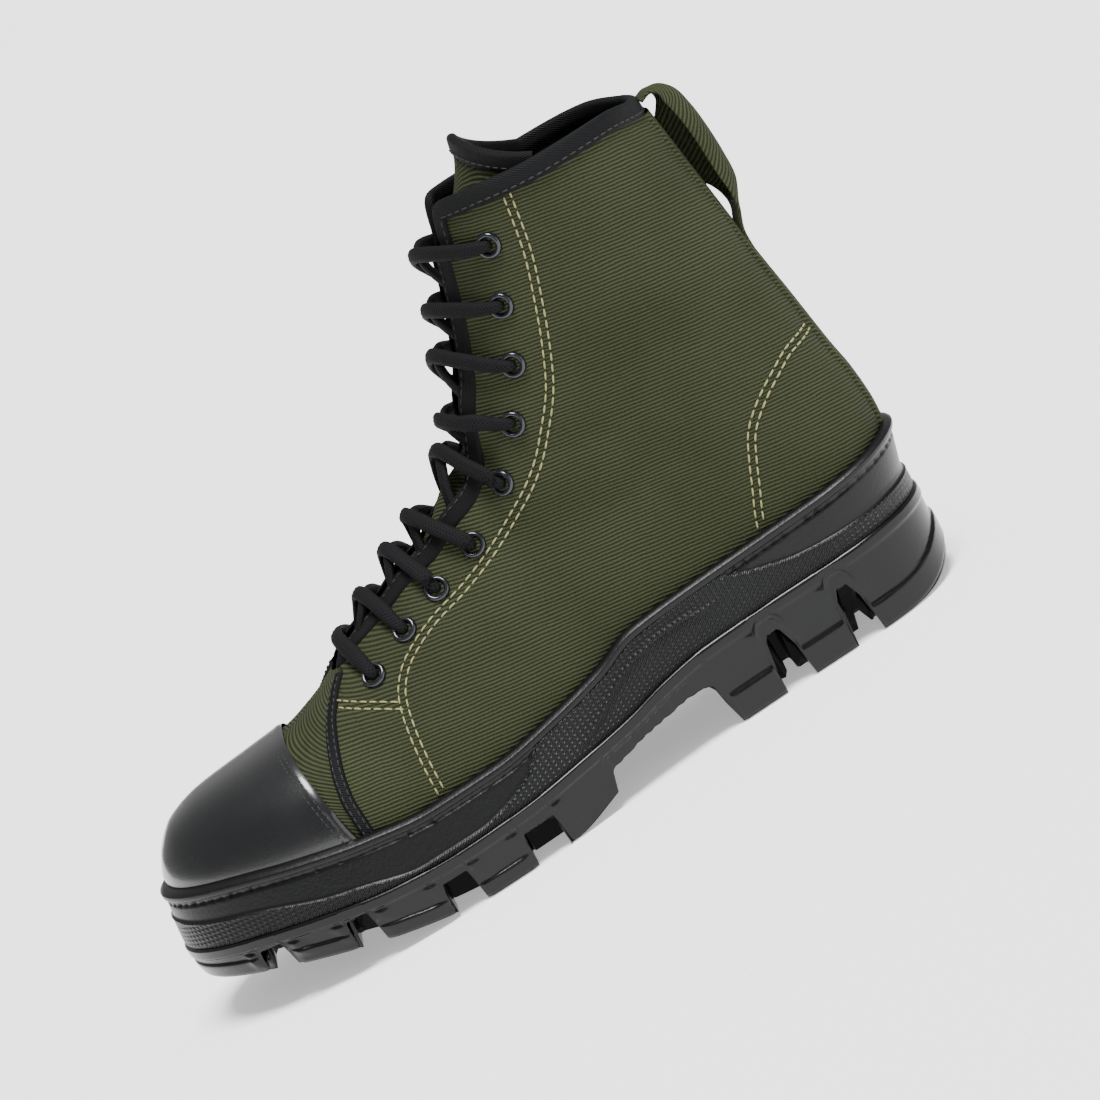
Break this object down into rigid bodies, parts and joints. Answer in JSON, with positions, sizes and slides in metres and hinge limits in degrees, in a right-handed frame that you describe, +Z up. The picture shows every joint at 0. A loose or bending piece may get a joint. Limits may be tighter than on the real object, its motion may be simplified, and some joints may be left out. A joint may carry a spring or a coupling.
{
  "type": "jungle boot",
  "caption": "left ankle-high canvas jungle boot with leather toe cap, rubber rand, lugged sole, laced throat and heel pull loop",
  "frame": {"origin": "middle of the heel's flat tread, on the floor", "axes": "+X toward the toe, +Y toward the outer side of this left boot, +Z up"},
  "size_m": [0.3129, 0.1121, 0.2207],
  "materials": {
    "canvas": "ribbed olive cotton, matt",
    "black_tape": "woven tape, matt",
    "toe_leather": "smooth, polished",
    "patch_leather": "pebbled, slight sheen",
    "rand_rubber": "textured, matt",
    "tread_rubber": "smooth, slight sheen",
    "insole_fabric": "felted, matt",
    "enamelled_metal": "black enamel, gloss",
    "lace_cord": "braided, matt"
  },
  "bodies": {
    "root": {"upper": "canvas", "tongue": "canvas", "pull_loop": "canvas", "collar_tape": "black_tape", "tongue_tape": "black_tape", "quarter_tape_outer": "black_tape", "quarter_tape_inner": "black_tape", "backstay": "black_tape", "toe_cap": "toe_leather", "inner_patch": "patch_leather", "rand": "rand_rubber", "outsole": "tread_rubber", "insole": "insole_fabric", "lace_bar": "lace_cord", "lace_crossing_1": "lace_cord", "lace_crossing_2": "lace_cord", "lace_crossing_3": "lace_cord", "lace_crossing_4": "lace_cord", "lace_crossing_5": "lace_cord", "lace_crossing_6": "lace_cord", "lace_crossing_7": "lace_cord", "lace_crossing_8": "lace_cord", "eyelet_outer_1": "enamelled_metal", "eyelet_outer_2": "enamelled_metal", "eyelet_outer_3": "enamelled_metal", "eyelet_outer_4": "enamelled_metal", "eyelet_outer_5": "enamelled_metal", "eyelet_outer_6": "enamelled_metal", "eyelet_outer_7": "enamelled_metal", "eyelet_outer_8": "enamelled_metal", "eyelet_outer_9": "enamelled_metal", "eyelet_inner_1": "enamelled_metal", "eyelet_inner_2": "enamelled_metal", "eyelet_inner_3": "enamelled_metal", "eyelet_inner_4": "enamelled_metal", "eyelet_inner_5": "enamelled_metal", "eyelet_inner_6": "enamelled_metal", "eyelet_inner_7": "enamelled_metal", "eyelet_inner_8": "enamelled_metal", "eyelet_inner_9": "enamelled_metal"}
  },
  "joints": []
}
